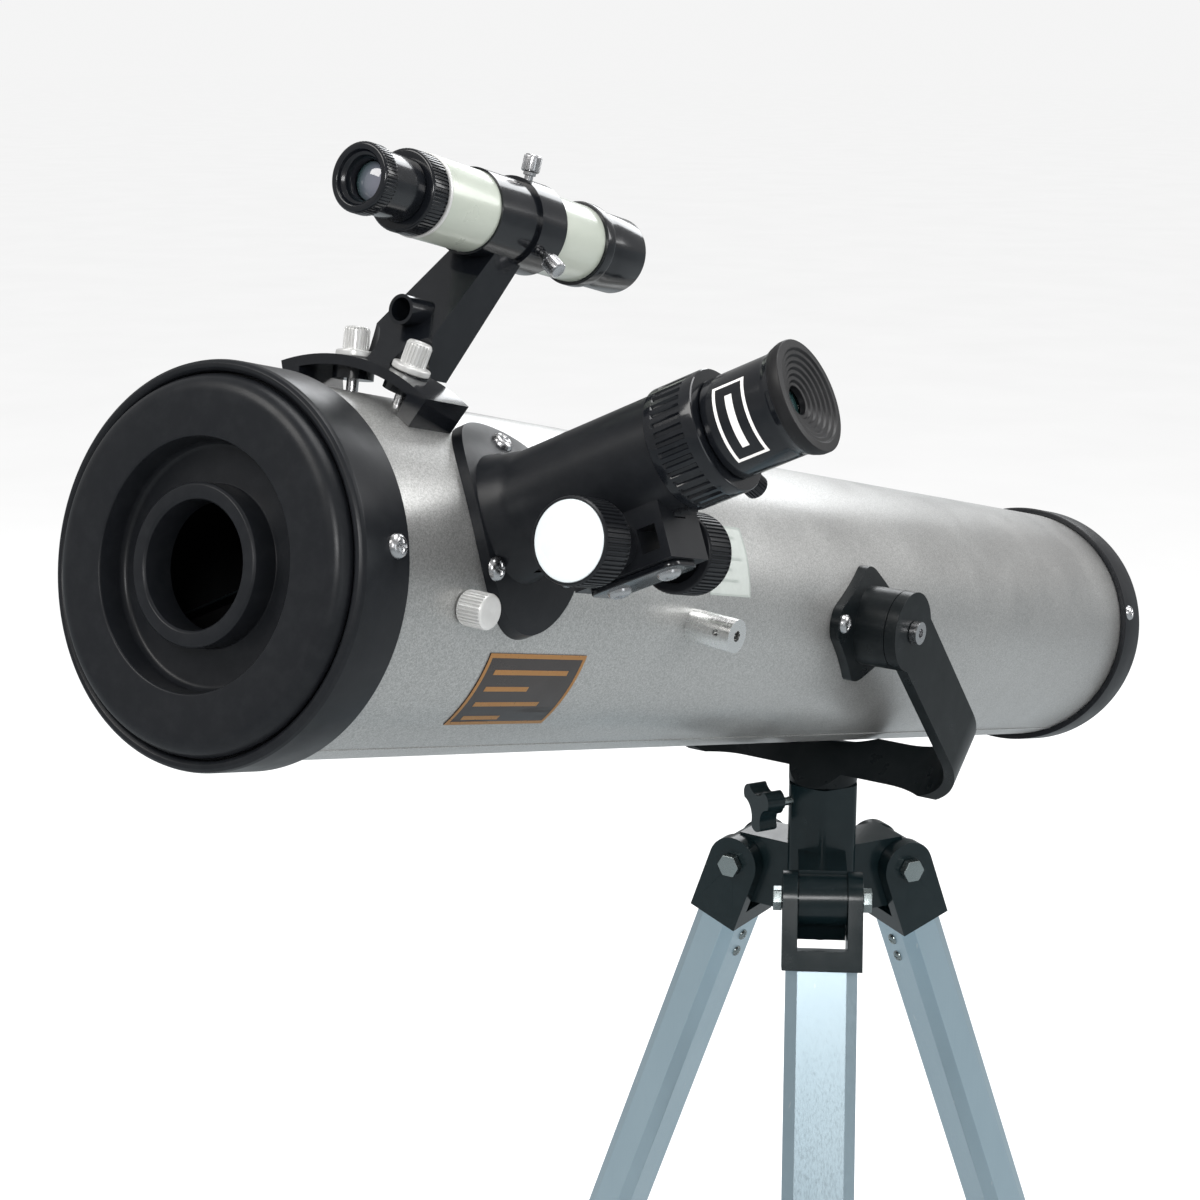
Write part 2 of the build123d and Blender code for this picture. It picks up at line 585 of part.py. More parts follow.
# ---- yoke ----
def yoke():
    """Strap bent to a U that leans forward, with round eyes and the azimuth spigot."""
    lean = radians(LEAN)
    leaning = (0, cos(lean), sin(lean))
    plane = Plane(origin=TRUNNION, x_dir=(1, 0, 0), z_dir=leaning).location
    depth = hypot(SPIGOT_OFFSET, YOKE_DROP) + YOKE_STRAP / 2

    def u_shape(half, bottom, bend, reach):
        corners = [(-half, reach), (-half, bottom), (half, bottom), (half, reach)]
        face = make_face(Polyline(*corners, close=True))
        low = [v for v in face.vertices() if v.Y > 50]
        return extrude(fillet(low, bend), YOKE_WIDTH / 2, both=True)

    half, inner = YOKE_HALF_SPAN, YOKE_HALF_SPAN - YOKE_STRAP
    hollow = u_shape(inner, depth - YOKE_STRAP, YOKE_BEND_R - YOKE_STRAP, -5)
    strap = plane * (u_shape(half, depth, YOKE_BEND_R, 0) - hollow)
    eyes = [Pos(*TRUNNION) * along_x(YOKE_EYE_R, x0, x1) for x0, x1 in ((-half, -inner), (inner, half))]
    under = TRUNNION_Z - YOKE_DROP - 4
    boss = rod(YOKE_BOSS_R, COLUMN_TOP + GAP, TRUNNION_Z - 60)
    boss = boss - plane * block(-60, 60, -20, depth - YOKE_STRAP, -90, 90)
    spigot = rod(SPIGOT_R, COLUMN_TOP + 2 - SPIGOT_LENGTH, COLUMN_TOP + 2)
    groove = pipe(SPIGOT_R + 1, SPIGOT_R - 1.2, -5, 5)
    strap = strap - block(-200, 200, -200, 200, under - 50, under)
    strap = strap - rod(22.5, under - 50, COLUMN_TOP + GAP)
    body = strap + eyes + boss + spigot
    body = body - ON_TUBE * station(0) * rod(TUBE_R + 1, 150, 600)
    body = body - Pos(0, 0, TRUNNION_Z - AZIMUTH_KNOB_DROP) * groove
    return body - Pos(*TRUNNION) * along_x(BOLT_R + RUN, -100, 100)


# ---- tripod head ----
KNUCKLE_R = 12.0


def tripod_head():
    column = extrude(RegularPolygon(COLUMN_FLATS / 2, 6, major_radius=False), 74)
    column = Pos(0, 0, COLUMN_TOP - 74) * fillet(column.edges().filter_by(Axis.Z), 4)
    arms = []
    for azimuth in LEG_AZIMUTHS:
        arm = block(8, HINGE_R, -KNUCKLE_WIDTH / 2, KNUCKLE_WIDTH / 2, HINGE_Z - 20, HINGE_Z + 14)
        knuckle = across(KNUCKLE_R, -KNUCKLE_WIDTH / 2, KNUCKLE_WIDTH / 2, HINGE_R, HINGE_Z)
        top_bevel = Pos(HINGE_R + 9, 0, HINGE_Z + 17) * Rot(Y=35) * Box(30, 40, 12)
        bolt_hole = across(HINGE_BOLT_R + FIT, -30, 30, HINGE_R, HINGE_Z)
        arms.append(Rot(Z=azimuth) * (arm + knuckle - top_bevel - bolt_hole))
    lock_bore = azimuth_knob_place() * rod(LOCK_SCREW_R + RUN, 0, 40)
    bore = rod(SPIGOT_R + RUN, COLUMN_TOP - SPIGOT_LENGTH - 2, COLUMN_TOP + 5)
    return column + arms - bore - lock_bore


def leg_hinge_bolts():
    half = BRACKET_WIDTH / 2
    head = extrude(RegularPolygon(5, 6, major_radius=False), 4)
    bolt = across(HINGE_BOLT_R, -half - GAP, half + GAP)
    bolt = bolt + Pos(0, half + GAP, 0) * Rot(X=-90) * head + Pos(0, -half - GAP, 0) * Rot(X=90) * head
    return group([Rot(Z=azimuth) * Pos(HINGE_R, 0, HINGE_Z) * bolt for azimuth in LEG_AZIMUTHS])


def azimuth_knob_place():
    """Axis of the azimuth lock, z outwards from the column."""
    height = TRUNNION_Z - AZIMUTH_KNOB_DROP
    return Pos(0, 0, height) * Rot(Z=AZIMUTH_KNOB_AZIMUTH) * Rot(Y=90)


def azimuth_knob():
    """Three-lobed knob on its screw."""
    lobes = [Rot(Z=120 * k) * Pos(7.5, 0, 0) * rod(5, 0, 9) for k in range(3)]
    waist = [Rot(Z=60 + 120 * k) * Pos(13.5, 0, 0) * rod(8, -1, 12) for k in range(3)]
    knob = Pos(0, 0, 27) * (rod(9, 0, 9) + lobes - waist + rod(5, -3, 0))
    return azimuth_knob_place() * (rod(LOCK_SCREW_R, SPIGOT_R + GAP, 27) + knob)


# ---- legs ----
def leg_outline(width, depth, bevel):
    """Eight-sided section of a leg, its wide faces towards +x and -x."""
    half_d, half_w = depth / 2, width / 2
    corner = [(half_d, half_w - bevel), (half_d - bevel, half_w)]
    top = corner + [(-x, y) for x, y in reversed(corner)]
    return top + [(-x, -y) for x, y in top]


def leg_section(clear, z0, z1):
    """Solid of the leg's outer section moved inwards by clear."""
    bevel = LEG_BEVEL - clear * (2 - sqrt(2))
    return prism(leg_outline(LEG_WIDTH - 2 * clear, LEG_DEPTH - 2 * clear, bevel), z0, z1)


SLIDE_GAP = 0.25


def leg_upper(azimuth):
    wall = leg_section(0, -UPPER_END, -UPPER_TOP) - leg_section(LEG_WALL, -UPPER_END - 1, -UPPER_TOP + 1)
    clamp_hole = Pos(0, 0, -UPPER_END + 2) * Rot(Y=90) * rod(3.2, 0, 30)
    return leg_place(azimuth) * (wall - clamp_hole)


def leg_lower(azimuth):
    inset = LEG_WALL + SLIDE_GAP
    wall = leg_section(inset, -LOWER_END, -LOWER_TOP)
    wall = wall - leg_section(inset + LEG_WALL, -LOWER_END - 1, -LOWER_TOP + 1)
    return leg_place(azimuth) * wall


def leg_fittings(azimuth):
    """Hinge bracket, brace lug and the clamp collar at the upper section's end."""
    inner = KNUCKLE_WIDTH / 2 + GAP
    half = BRACKET_WIDTH / 2
    reach = BRACKET_DEPTH / 2
    ears = across(reach, -half, half) + block(-reach, reach, -half, half, -UPPER_TOP, 0)
    bracket = ears - block(-40, 40, -inner, inner, -UPPER_TOP + 9, 40)
    bracket = bracket - across(HINGE_BOLT_R + RUN, -30, 30)
    plug = leg_section(LEG_WALL + FIT, -UPPER_TOP - 22, -UPPER_TOP)
    collar = leg_section(-3, -UPPER_END - 12, -UPPER_END + 16)
    collar = collar + Pos(0, 0, -UPPER_END - 2) * Rot(Y=90) * rod(7, 0, 19)
    collar = collar - leg_section(-FIT, -UPPER_END, -UPPER_END + 20)
    collar = collar - leg_section(LEG_WALL + SLIDE_GAP - 0.2, -UPPER_END - 20, -UPPER_END + 1)
    collar = collar - Pos(0, 0, -UPPER_END - 2) * Rot(Y=90) * rod(CLAMP_SCREW_R + RUN, 0, 30)
    inner_face = -LEG_DEPTH / 2
    lug = block(-BRACE_INSET - 4.5, inner_face, -9.3, 9.3, -BRACE_AT - 6, -BRACE_AT + 6)
    band = leg_section(-2, -BRACE_AT - 6, -BRACE_AT + 6)
    lug = lug + band - leg_section(-FIT, -BRACE_AT - 10, -BRACE_AT + 10)
    lug = lug - block(-40, inner_face - 2, -6.3, 6.3, -BRACE_AT - 10, -BRACE_AT + 10)
    lug = lug + across(BRACE_PIN_R, -9.3, 9.3, -BRACE_INSET, -BRACE_AT)
    return leg_place(azimuth) * group([bracket + plug, collar, lug])


def leg_knob(azimuth):
    """Clamp screw of the sliding section with its round grip."""
    grip = Pos(0, 0, 20) * knurled(9, 0, 12, 12, 2.4, 0.9)
    screw = rod(CLAMP_SCREW_R, LEG_DEPTH / 2 - LEG_WALL - 0.1, 21)
    return leg_place(azimuth) * Pos(0, 0, -UPPER_END - 2) * Rot(Y=90) * (screw + grip)


def leg_foot(azimuth):
    """Rubber shoe round the end of the sliding section, cut level with the floor."""
    shoe = leg_section(-1.5, -LOWER_END - 60, -LOWER_END + 22)
    inset = LEG_WALL + SLIDE_GAP
    shoe = shoe - leg_section(inset - FIT, -LOWER_END, -LOWER_END + 30)
    return leg_place(azimuth) * shoe - block(-500, 500, -500, 500, -200, 0)


# ---- spreader ----
def brace_pivot(lean):
    """Outer pivot of a brace as (radius, height) for a leg leaning by lean."""
    b = radians(lean)
    r = HINGE_R + BRACE_AT * sin(b) - BRACE_INSET * cos(b)
    return r, HINGE_Z - BRACE_AT * cos(b) - BRACE_INSET * sin(b)


def brace_rise(lean):
    """Angle of a brace above level."""
    return degrees(acos((brace_pivot(lean)[0] - HUB_PIVOT_R) / BRACE_LENGTH))


def hub_pivot_height(lean):
    return brace_pivot(lean)[1] + BRACE_LENGTH * sin(radians(brace_rise(lean)))


def brace(azimuth):
    """Flat strut from the leg's lug to the hub, its inner pin free to lift off the hub."""
    radius, height = brace_pivot(LEG_LEAN)
    bar = block(-BRACE_LENGTH, 0, -5, 5, -1.5, 1.5)
    eyes = across(4.2, -6, 6) + across(3.5, -5, 5, -BRACE_LENGTH)
    strut = bar + eyes - across(BRACE_PIN_R + RUN, -10, 10) + across(1.8, -8.5, 8.5, -BRACE_LENGTH)
    return Rot(Z=azimuth) * Pos(radius, 0, height) * Rot(Y=brace_rise(LEG_LEAN)) * strut


def spreader_hub():
    """Notched plate with an open saddle for the inner pin of each brace."""
    pivot = hub_pivot_height(LEG_LEAN)
    top = pivot - 3.8
    plate = rod(HUB_PIVOT_R + 9, top - 4, top) - rod(8, top - 5, top + 1)
    notch = block(HUB_PIVOT_R - 4.5, HUB_PIVOT_R + 12, -5.7, 5.7, top - 6, top + 1)
    cheeks = []
    for azimuth in LEG_AZIMUTHS:
        for y0, y1 in ((-9, -6), (6, 9)):
            cheek = block(HUB_PIVOT_R - 3, HUB_PIVOT_R + 6, y0, y1, top - 1, pivot + 2)
            room = across(1.8 + GAP, -12, 12, HUB_PIVOT_R, pivot)
            room = room + Pos(HUB_PIVOT_R, 0, pivot) * Rot(Y=-45) * block(-2.1, 2.1, -12, 12, 0, 12)
            inside = block(HUB_PIVOT_R - 12, HUB_PIVOT_R, -12, 12, pivot - 2.1, pivot + 12)
            cheeks.append(Rot(Z=azimuth) * (cheek - room - inside))
    return plate - [Rot(Z=azimuth) * notch for azimuth in LEG_AZIMUTHS] + cheeks


# ---- every node ----
nodes = {
    "main_tube": main_tube(),
    "front_ring": front_ring(),
    "rear_ring": rear_ring(),
    "rear_cover": rear_cover(),
    "primary_mirror": primary_mirror(),
    "spider": spider(),
    "secondary_mirror": secondary_mirror(),
    "pan_head_screws": pan_head_screws(),
    "trunnion_plates": trunnion_plates(),
    "trunnion_bolts": trunnion_bolts(),
    "focuser_housing": focuser_housing(),
    "pinion_cover": pinion_cover(),
    "finder_bracket": finder_bracket(),
    "threaded_studs": threaded_studs(),
    "finder_tube": finder_tube(),
    "finder_end_cells": finder_end_cells(),
    "finder_objective": finder_objective(),
    "rod_post": rod_post(),
    "label_plate": label_plate(),
    "dust_cap": dust_cap(),
    "drawtube": drawtube(),
    "drawtube_collar": drawtube_collar(),
    "pinion_shaft": pinion_shaft(),
    "focus_knobs": focus_knobs(),
    "knob_discs": knob_discs(),
    "eyepiece_barrel": eyepiece_barrel(),
    "eyepiece_body": eyepiece_body(),
    "eyepiece_lenses": eyepiece_lenses(),
    "eyepiece_screw": eyepiece_screw(),
    "finder_eyepiece": finder_eyepiece(),
    "finder_eye_lens": finder_eye_lens(),
    "finder_screw_top": finder_screw(0),
    "finder_screw_left": finder_screw(240),
    "finder_screw_right": finder_screw(120),
    "bracket_nut_left": bracket_nut(STUDS[0]),
    "bracket_nut_right": bracket_nut(STUDS[1]),
    "side_thumb_nut": side_thumb_nut(),
}
nodes = {name: ON_TUBE * shape for name, shape in nodes.items()}
nodes["yoke"] = yoke()
nodes["tripod_head"] = tripod_head()
nodes["leg_hinge_bolts"] = leg_hinge_bolts()
nodes["azimuth_knob"] = azimuth_knob()
nodes["spreader_hub"] = spreader_hub()
for number, azimuth in enumerate(LEG_AZIMUTHS, start=1):
    nodes[f"leg_fittings_{number}"] = leg_fittings(azimuth)
    nodes[f"leg_upper_{number}"] = leg_upper(azimuth)
    nodes[f"leg_lower_{number}"] = leg_lower(azimuth)
    nodes[f"leg_foot_{number}"] = leg_foot(azimuth)
    nodes[f"leg_knob_{number}"] = leg_knob(azimuth)
    nodes[f"brace_{number}"] = brace(azimuth)

os.makedirs("parts", exist_ok=True)
for name, shape in nodes.items():
    export_step(shape, f"parts/{name}.step")
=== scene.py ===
"""Looks of a 76 mm Newtonian reflector on a yoke mount and a folding tripod."""
import json
from math import cos, degrees, pi, radians, sin

import bmesh
import bpy
from mathutils import Matrix, Vector


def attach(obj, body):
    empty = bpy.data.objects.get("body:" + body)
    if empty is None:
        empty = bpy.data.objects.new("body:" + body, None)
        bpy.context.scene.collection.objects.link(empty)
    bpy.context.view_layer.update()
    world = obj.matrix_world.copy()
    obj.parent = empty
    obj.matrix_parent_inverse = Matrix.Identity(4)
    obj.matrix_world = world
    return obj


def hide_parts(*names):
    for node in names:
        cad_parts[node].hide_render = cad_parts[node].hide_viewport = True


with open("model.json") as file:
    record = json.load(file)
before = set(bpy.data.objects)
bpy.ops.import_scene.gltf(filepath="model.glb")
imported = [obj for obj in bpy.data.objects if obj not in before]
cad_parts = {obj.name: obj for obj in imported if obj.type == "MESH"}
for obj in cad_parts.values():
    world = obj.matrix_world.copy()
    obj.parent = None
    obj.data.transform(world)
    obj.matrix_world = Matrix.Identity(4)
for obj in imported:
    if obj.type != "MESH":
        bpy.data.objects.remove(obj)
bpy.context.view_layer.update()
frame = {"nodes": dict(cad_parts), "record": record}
nodes = frame["nodes"]

# ---- places, as in the CAD: millimetres in, metres out ----
MM = 0.001
TRUNNION = (0, -79.1, 767)
TRUNNION_S = 331            # stations s run from the front ring's front to the rear
TUBE_TILT = 14.16
TUBE_R, TUBE_BORE = 60, 59
TUBE_END = 655
RING_R, RING_LENGTH = 63, 22.6
REAR_RING_S = 632.4         # front edge of the rear ring
FOCUSER_S, FOCUSER_PSI = 81, 64.1       # psi is the angle from the tube's top towards +X
PINION_RHO, PINION_W = 102.2, 23.8
KNOB_BACK = 23              # from the middle of the pinion to the back of a focus knob
EYEPIECE_R = 15.95
FINDER_PSI, FINDER_RHO = 6.5, 125.6
HINGE_R, HINGE_Z = 38, 620
LEG_AZIMUTHS = (-60, 60, 180)
LEG_LEAN = 20


def shift(x=0.0, y=0.0, z=0.0):
    return Matrix.Translation(Vector((x, y, z)) * MM)


def turn(axis, angle):
    return Matrix.Rotation(radians(angle), 4, axis)


def place(origin, x, z):
    """Place at a point in millimetres with the given x and z directions."""
    x, z = Vector(x).normalized(), Vector(z).normalized()
    found = Matrix((x, z.cross(x), z)).transposed().to_4x4()
    found.translation = Vector(origin) * MM
    return found


ON_TUBE = shift(*TRUNNION) @ turn("X", -TUBE_TILT)


def station(s):
    """Across the tube at station s, z to the rear and y down."""
    return ON_TUBE @ place((0, s - TRUNNION_S, 0), (1, 0, 0), (0, 1, 0))


def outward(s, psi, rho=0.0):
    """On a radius of the tube, z outwards and x to the rear."""
    a = radians(psi)
    return ON_TUBE @ place((rho * sin(a), s - TRUNNION_S, rho * cos(a)), (0, 1, 0), (sin(a), 0, cos(a)))


def finder_station(s):
    """Across the finder at station s, z to the rear and y down to the tube."""
    a = radians(FINDER_PSI)
    origin = (FINDER_RHO * sin(a), s - TRUNNION_S, FINDER_RHO * cos(a))
    return ON_TUBE @ place(origin, (cos(a), 0, -sin(a)), (0, 1, 0))


def leg_place(azimuth):
    """Leg frame: hinge at the origin, x outwards, z up along the leaning leg."""
    a = radians(azimuth)
    return shift(HINGE_R * cos(a), HINGE_R * sin(a), HINGE_Z) @ turn("Z", azimuth) @ turn("Y", -LEG_LEAN)


ALONG_TUBE = station(0)
FINDER = finder_station(0)
FOCUSER = outward(FOCUSER_S, FOCUSER_PSI)
PINION = FOCUSER @ shift(0, -PINION_W, PINION_RHO)


# ---- materials ----
class Finish:
    """A node material built round one Principled shader."""

    def __init__(self, name, color, metallic=0.0, roughness=0.4, **sockets):
        self.name = name
        self.material = bpy.data.materials.new(name)
        self.material.use_nodes = True
        self.tree = self.material.node_tree
        self.shader = self.tree.nodes["Principled BSDF"]
        self.set("Base Color", (*color, 1))
        self.set("Metallic", metallic)
        self.set("Roughness", roughness)
        for socket, value in sockets.items():
            self.set(socket.replace("_", " "), value)
        self.coords = self.node("ShaderNodeTexCoord").outputs["Object"]
        self.normal = None

    def set(self, socket, value):
        self.shader.inputs[socket].default_value = value

    def node(self, kind, **settings):
        made = self.tree.nodes.new(kind)
        for key, value in settings.items():
            setattr(made, key, value)
        return made

    def link(self, a, b):
        self.tree.links.new(a, b)

    def drive(self, socket, source):
        """Links a source to one of the shader's sockets."""
        self.link(source, self.shader.inputs[socket])

    def noise(self, scale, detail=3.0, roughness=0.55, stretch=None):
        """Noise of the given scale per metre; a small number in stretch draws it out along that axis."""
        coords = self.coords
        if stretch is not None:
            mapping = self.node("ShaderNodeMapping")
            mapping.inputs["Scale"].default_value = stretch
            self.link(coords, mapping.inputs["Vector"])
            coords = mapping.outputs["Vector"]
        noise = self.node("ShaderNodeTexNoise")
        noise.inputs["Scale"].default_value = scale
        noise.inputs["Detail"].default_value = detail
        noise.inputs["Roughness"].default_value = roughness
        self.link(coords, noise.inputs["Vector"])
        return noise.outputs["Fac"]

    def flakes(self, scale):
        """A random grey for each cell of a fine grid of grains."""
        cells = self.node("ShaderNodeTexVoronoi")
        cells.inputs["Scale"].default_value = scale
        self.link(self.coords, cells.inputs["Vector"])
        grey = self.node("ShaderNodeRGBToBW")
        self.link(cells.outputs["Color"], grey.inputs["Color"])
        return grey.outputs["Val"]

    def between(self, fac, low, high, start=0.3, end=0.7):
        """Value or colour from low to high as fac goes from start to end."""
        if not hasattr(low, "__len__"):
            ranged = self.node("ShaderNodeMapRange")
            for socket, value in (("From Min", start), ("From Max", end), ("To Min", low), ("To Max", high)):
                ranged.inputs[socket].default_value = value
            self.link(fac, ranged.inputs["Value"])
            return ranged.outputs["Result"]
        ramp = self.node("ShaderNodeValToRGB")
        first, last = ramp.color_ramp.elements[0], ramp.color_ramp.elements[1]
        first.position, last.position = start, end
        first.color, last.color = (*low, 1), (*high, 1)
        self.link(fac, ramp.inputs["Fac"])
        return ramp.outputs["Color"]

    def mixed(self, fac, a, b):
        """Colour from a to b by fac; a and b are colours or sources."""
        mix = self.node("ShaderNodeMix", data_type="RGBA")
        self.link(fac, mix.inputs["Factor"])
        for value, socket in ((a, mix.inputs[6]), (b, mix.inputs[7])):
            if hasattr(value, "__len__"):
                socket.default_value = (*value, 1)
            else:
                self.link(value, socket)
        return mix.outputs[2]

    def bump(self, height, depth, strength=1.0):
        """Adds relief of a depth in millimetres."""
        bump = self.node("ShaderNodeBump")
        bump.inputs["Strength"].default_value = strength
        bump.inputs["Distance"].default_value = depth * MM
        self.link(height, bump.inputs["Height"])
        if self.normal is not None:
            self.link(self.normal, bump.inputs["Normal"])
        self.normal = bump.outputs["Normal"]
        self.drive("Normal", self.normal)


def plastic(name, color, roughness, grain, depth, wear=None, **more):
    """Moulded plastic: fine grain, uneven gloss, faint dust, and scuffs in the wear colour."""
    f = Finish(name, color, 0.0, roughness, **more)
    lighter = tuple(min(1.0, c * 1.1 + 0.003) for c in color)
    tone = f.between(f.noise(160, 6, 0.7), color, lighter, 0.45, 0.75)
    f.drive("Roughness", f.between(f.noise(70, 5), roughness * 0.85, roughness * 1.2))
    f.bump(f.noise(grain, 2), depth)
    if wear:
        scuffs = f.between(f.noise(150, 3, 0.5, stretch=(1, 0.16, 0.3)), 0.0, 0.5, 0.70, 0.78)
        tone = f.mixed(scuffs, tone, wear)
    f.drive("Base Color", tone)
    return f


def metal(name, color, roughness, stretch=(1, 1, 1), tint=0.06):
    """Bare metal: fine lines along the stretch, stains and uneven polish."""
    f = Finish(name, color, 1.0, roughness)
    lines = f.noise(900, 3, 0.6, stretch=stretch)
    darker = tuple(c * (1 - tint) for c in color)
    f.drive("Base Color", f.between(f.noise(24, 5, 0.6), darker, color, 0.3, 0.65))
    f.drive("Roughness", f.between(lines, roughness * 0.75, roughness * 1.35))
    f.bump(lines, 0.004)
    return f


def tube_paint():
    """Metallic silver paint: fine flakes in two slightly different greys, under a thin coat."""
    f = Finish("tube_paint", (0.5, 0.5, 0.5), 0.8, 0.36, Coat_Weight=0.35, Coat_Roughness=0.2)
    flakes = f.flakes(2600)
    warm = f.between(flakes, (0.36, 0.358, 0.35), (0.58, 0.578, 0.568), 0.1, 0.9)
    cool = f.between(flakes, (0.38, 0.386, 0.378), (0.62, 0.626, 0.616), 0.1, 0.9)
    haze = f.between(f.noise(7, 4, 0.5, stretch=(1, 0.35, 1)), (0.0, 0.0, 0.0), (1.0, 1.0, 1.0), 0.35, 0.7)
    f.drive("Base Color", f.mixed(haze, warm, cool))
    f.drive("Roughness", f.between(f.noise(30, 5), 0.30, 0.42))
    f.bump(flakes, 0.012, 0.5)
    f.bump(f.noise(240, 2), 0.02, 0.4)
    return f


def finder_paint():
    """Pale grey-green gloss paint."""
    f = Finish("finder_paint", (0.60, 0.64, 0.57), 0.1, 0.3, Coat_Weight=0.5, Coat_Roughness=0.12)
    haze = f.noise(60, 4, 0.6, stretch=(1, 0.3, 1))
    f.drive("Base Color", f.between(haze, (0.40, 0.44, 0.38), (0.47, 0.50, 0.44)))
    f.drive("Roughness", f.between(f.noise(70, 4), 0.24, 0.36))
    f.bump(f.noise(1200, 2), 0.006, 0.6)
    return f


def leg_metal():
    """Satin anodised aluminium, drawn lines down the leg and small scratches."""
    f = Finish("leg_aluminium", (0.68, 0.74, 0.78), 1.0, 0.3)
    lines = f.noise(1400, 2, 0.5, stretch=(1, 1, 0.012))
    patches = f.noise(9, 5, 0.6, stretch=(1, 1, 0.4))
    scratches = f.between(f.noise(260, 2, 0.5, stretch=(1, 1, 0.04)), 0.0, 1.0, 0.72, 0.76)
    body = f.between(patches, (0.54, 0.68, 0.76), (0.65, 0.79, 0.86))
    f.drive("Base Color", f.mixed(scratches, body, (0.74, 0.83, 0.87)))
    f.drive("Roughness", f.between(lines, 0.28, 0.42))
    f.bump(lines, 0.006, 0.6)
    return f


def mirror_coating():
    """Polished coating with faint haze."""
    f = Finish("mirror", (0.9, 0.9, 0.92), 1.0, 0.02)
    f.drive("Roughness", f.between(f.noise(60, 5), 0.01, 0.05, 0.5, 0.8))
    f.drive("Base Color", f.between(f.noise(20, 3), (0.86, 0.87, 0.9), (0.92, 0.92, 0.93)))
    f.bump(f.noise(200, 2), 0.0004, 0.3)
    return f


def lens_coating():
    """Dark lens with a coating that shifts from violet grey to green across its dome."""
    f = Finish("lens", (0.02, 0.02, 0.03), 0.0, 0.04, Coat_Weight=1.0, Coat_Roughness=0.02, IOR=1.7)
    sheen = f.node("ShaderNodeLayerWeight")
    sheen.inputs["Blend"].default_value = 0.4
    f.drive("Base Color", f.between(sheen.outputs["Facing"], (0.16, 0.16, 0.2), (0.02, 0.05, 0.05), 0.0, 0.6))
    f.drive("Roughness", f.between(f.noise(400, 4), 0.02, 0.12, 0.5, 0.8))
    f.bump(f.noise(900, 2), 0.0005, 0.3)
    return f


finishes = {made.name: made.material for made in (
    tube_paint(), finder_paint(), leg_metal(), mirror_coating(), lens_coating(),
    plastic("tube_inside", (0.008, 0.008, 0.009), 0.75, 900, 0.02, Specular_IOR_Level=0.2),
    plastic("black_satin", (0.008, 0.009, 0.011), 0.33, 2200, 0.012, (0.022, 0.022, 0.024),
            Specular_IOR_Level=0.25),
    plastic("black_gloss", (0.005, 0.006, 0.008), 0.17, 700, 0.010, (0.02, 0.022, 0.024),
            Specular_IOR_Level=0.35, Coat_Weight=0.35, Coat_Roughness=0.08),
    plastic("black_metal", (0.005, 0.007, 0.008), 0.30, 1500, 0.014, (0.018, 0.02, 0.021),
            Specular_IOR_Level=0.2),
    plastic("eye_rubber", (0.007, 0.007, 0.008), 0.42, 1600, 0.012, Specular_IOR_Level=0.35),
    plastic("knob_plastic", (0.004, 0.010, 0.012), 0.22, 1100, 0.012, (0.018, 0.022, 0.024),
            Specular_IOR_Level=0.4),
    plastic("white_disc", (0.66, 0.71, 0.73), 0.25, 500, 0.006, Coat_Weight=0.3),
    plastic("white_print", (0.78, 0.76, 0.74), 0.4, 1800, 0.006),
    plastic("silver_plastic", (0.60, 0.60, 0.59), 0.32, 900, 0.012, Metallic=0.35),
    metal("bright_steel", (0.60, 0.60, 0.61), 0.24),
    metal("zinc_steel", (0.40, 0.45, 0.45), 0.26, tint=0.3),
    metal("bright_aluminium", (0.95, 0.95, 0.94), 0.24, stretch=(1, 0.08, 1)),
    plastic("label", (0.018, 0.012, 0.010), 0.3, 900, 0.004, Coat_Weight=0.3),
    metal("label_print", (0.72, 0.36, 0.14), 0.34),
    plastic("sticker", (0.60, 0.64, 0.61), 0.5, 900, 0.004, Alpha=0.55),
    plastic("sticker_print", (0.30, 0.33, 0.31), 0.6, 900, 0.002),
    plastic("foot_rubber", (0.02, 0.02, 0.02), 0.7, 1300, 0.04),
)}
for part in frame["record"]["subparts"]:
    mesh = nodes[part["node"]].data
    mesh.materials.clear()
    mesh.materials.append(finishes[part["material_slot"]])


# ---- mesh tools ----
def finished(name, mesh, where, body, slot, finish=None, sharp=32.0):
    """Places a mesh given in millimetres and makes it ride."""
    mesh.transform(where @ Matrix.Scale(MM, 4))
    mesh.polygons.foreach_set("use_smooth", [True] * len(mesh.polygons))
    mesh.set_sharp_from_angle(angle=radians(sharp))
    mesh.materials.append(finishes[finish or slot])
    made = bpy.data.objects.new(name, mesh)
    bpy.context.scene.collection.objects.link(made)
    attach(made, body)
    return made


def closed_mesh(name, points, faces):
    """Mesh with doubled points merged, empty faces dissolved and normals outwards."""
    mesh = bpy.data.meshes.new(name)
    mesh.from_pydata(points, [], faces)
    work = bmesh.new()
    work.from_mesh(mesh)
    bmesh.ops.remove_doubles(work, verts=work.verts, dist=1e-4)
    bmesh.ops.dissolve_degenerate(work, edges=work.edges, dist=1e-5)
    bmesh.ops.recalc_face_normals(work, faces=work.faces)
    work.to_mesh(mesh)
    work.free()
    return mesh


CORNER_STEPS = 3
SHORTEST_CUT, STRAIGHTEST = 0.01, 165   # below this cut or above this angle a corner stays


def softened(outline, radius, closed):
    """The outline with its corners rounded; a third number in a point is its own radius."""
    count, out = len(outline), []
    for k, point in enumerate(outline):
        if not closed and k in (0, count - 1):
            out.append(tuple(point[:2]))
            continue
        corner = Vector(point[:2])
        back = Vector(outline[k - 1][:2]) - corner
        ahead = Vector(outline[(k + 1) % count][:2]) - corner
        cut = min(point[2] if len(point) > 2 else radius, 0.45 * back.length, 0.45 * ahead.length)
        if cut < SHORTEST_CUT or back.angle(ahead) > radians(STRAIGHTEST):
            out.append(tuple(corner))
            continue
        start, end = corner + back.normalized() * cut, corner + ahead.normalized() * cut
        for j in range(CORNER_STEPS + 1):
            t = j / CORNER_STEPS
            out.append(tuple((1 - t) ** 2 * start + 2 * t * (1 - t) * corner + t * t * end))
    return out


